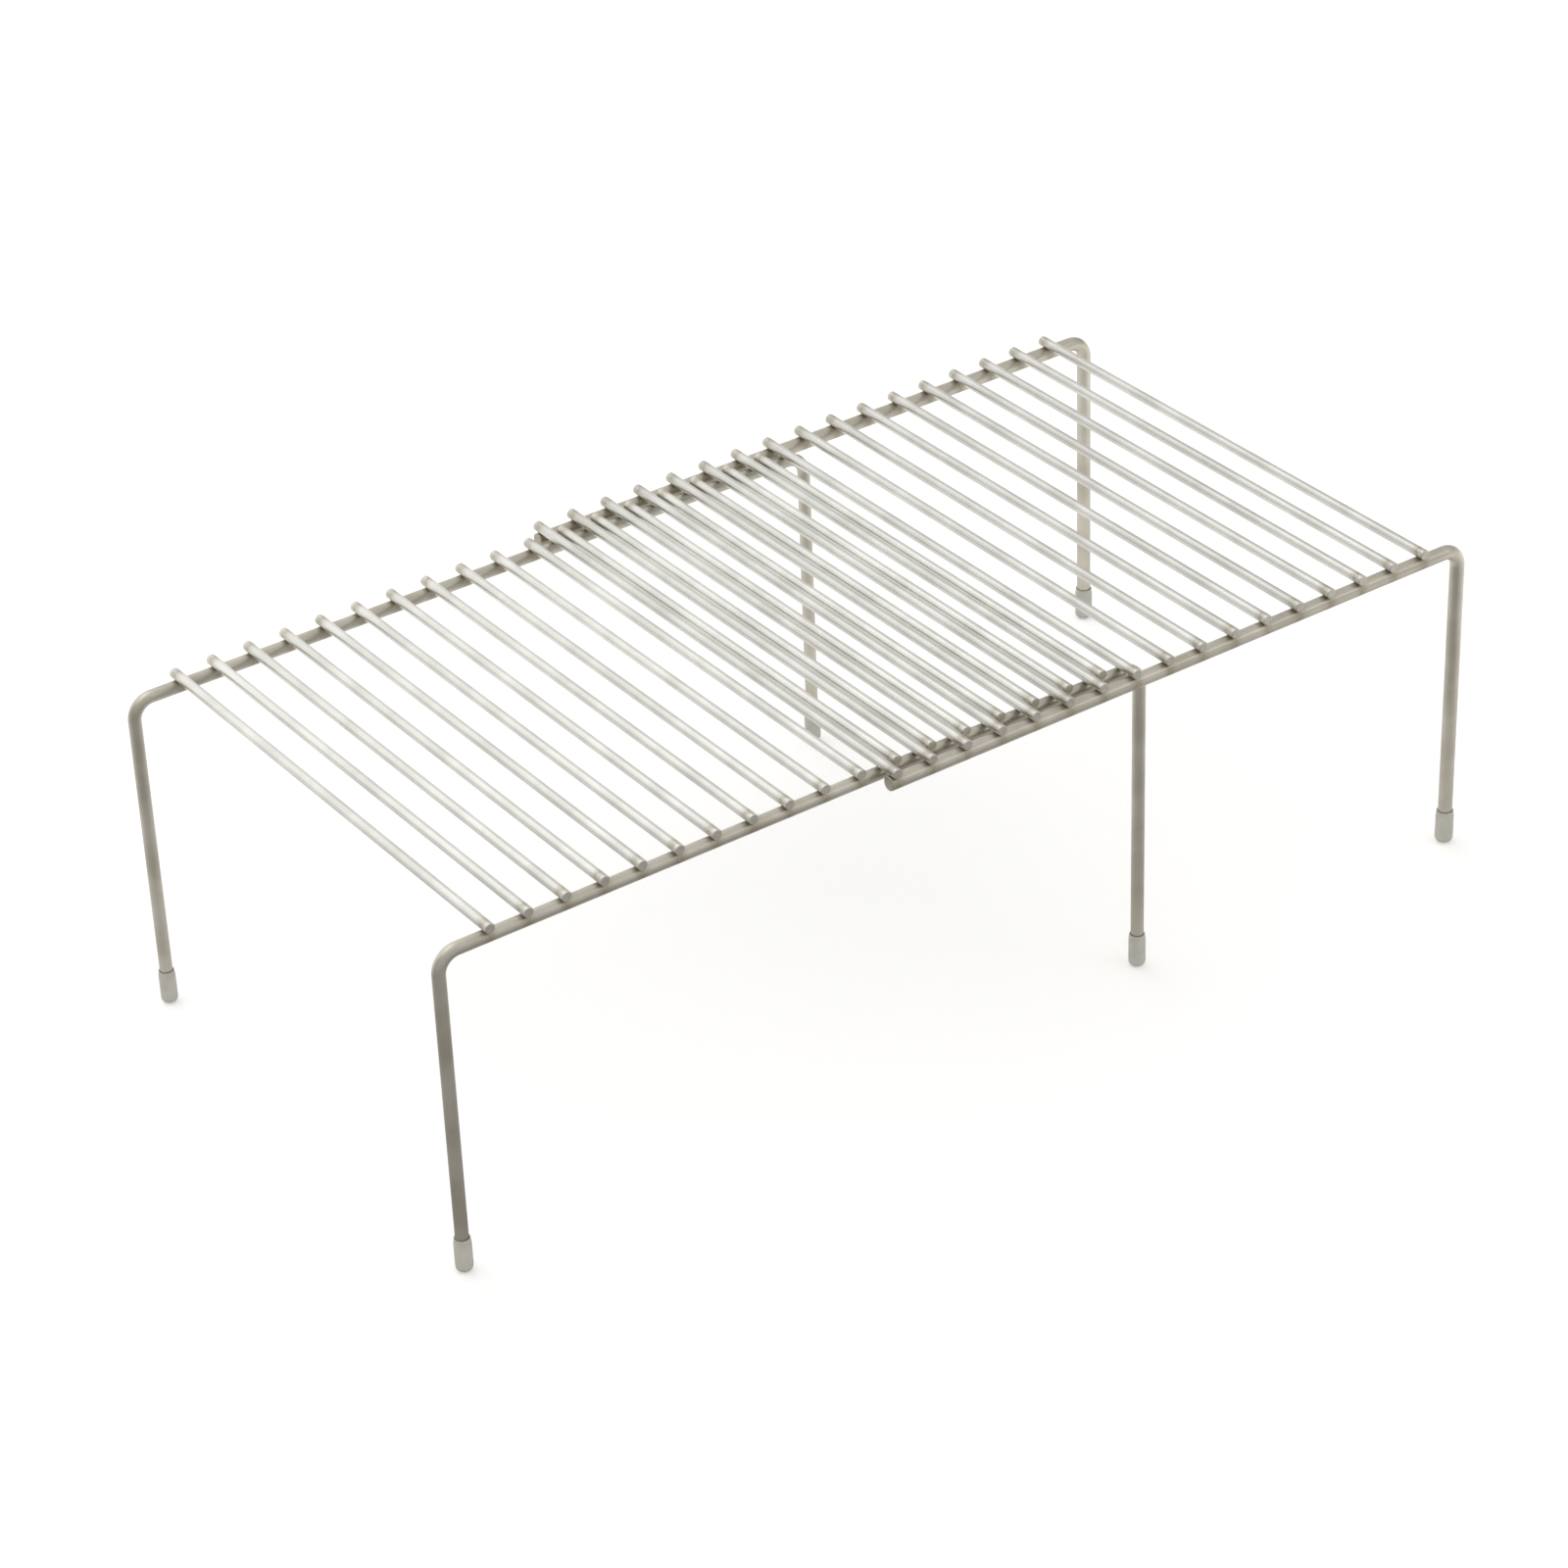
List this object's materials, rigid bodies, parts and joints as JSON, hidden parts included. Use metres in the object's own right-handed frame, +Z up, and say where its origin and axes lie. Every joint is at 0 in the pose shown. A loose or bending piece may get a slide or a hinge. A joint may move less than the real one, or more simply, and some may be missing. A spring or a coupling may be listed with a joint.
{
  "type": "extendable wire shelf riser",
  "caption": "Free-standing wire cabinet shelf made of two nested welded wire sections that extend in length, on rod legs with soft push-on foot caps.",
  "frame": {"origin": "on the floor, at the middle of the whole length and depth as set at rest", "axes": "+X along the shelf towards the outer section's legs, -Y the front, +Z up"},
  "size_m": [0.5034, 0.2558, 0.1524],
  "materials": {
    "rail_finish": "satin nickel plate, warm grey",
    "wire_finish": "satin nickel plate, warm grey",
    "cap_vinyl": "soft translucent vinyl"
  },
  "bodies": {
    "inner_section": {"inner_front_rail": "rail_finish", "inner_back_rail": "rail_finish", "inner_wire_01": "wire_finish", "inner_wire_02": "wire_finish", "inner_wire_03": "wire_finish", "inner_wire_04": "wire_finish", "inner_wire_05": "wire_finish", "inner_wire_06": "wire_finish", "inner_wire_07": "wire_finish", "inner_wire_08": "wire_finish", "inner_wire_09": "wire_finish", "inner_wire_10": "wire_finish", "inner_wire_11": "wire_finish", "inner_wire_12": "wire_finish", "inner_wire_13": "wire_finish", "inner_wire_14": "wire_finish", "inner_wire_15": "wire_finish", "inner_wire_16": "wire_finish", "inner_wire_17": "wire_finish", "inner_wire_18": "wire_finish", "inner_front_left_cap": "cap_vinyl", "inner_back_left_cap": "cap_vinyl", "inner_front_right_cap": "cap_vinyl", "inner_back_right_cap": "cap_vinyl"},
    "outer_feet": {"outer_front_cap": "cap_vinyl", "outer_back_cap": "cap_vinyl"},
    "outer_section": {"outer_front_rail": "rail_finish", "outer_back_rail": "rail_finish", "outer_wire_01": "wire_finish", "outer_wire_02": "wire_finish", "outer_wire_03": "wire_finish", "outer_wire_04": "wire_finish", "outer_wire_05": "wire_finish", "outer_wire_06": "wire_finish", "outer_wire_07": "wire_finish", "outer_wire_08": "wire_finish", "outer_wire_09": "wire_finish", "outer_wire_10": "wire_finish", "outer_wire_11": "wire_finish", "outer_wire_12": "wire_finish", "outer_wire_13": "wire_finish", "outer_wire_14": "wire_finish", "outer_wire_15": "wire_finish", "outer_wire_16": "wire_finish", "outer_wire_17": "wire_finish"}
  },
  "joints": [
    {"name": "extend", "type": "slide", "parent": "inner_section", "child": "outer_feet", "axis": [1, 0, 0], "range_m": [-0.17, 0.034]},
    {"name": "lift", "type": "slide", "parent": "outer_feet", "child": "outer_section", "axis": [0, 0, 1], "range_m": [0, 0.005]}
  ]
}
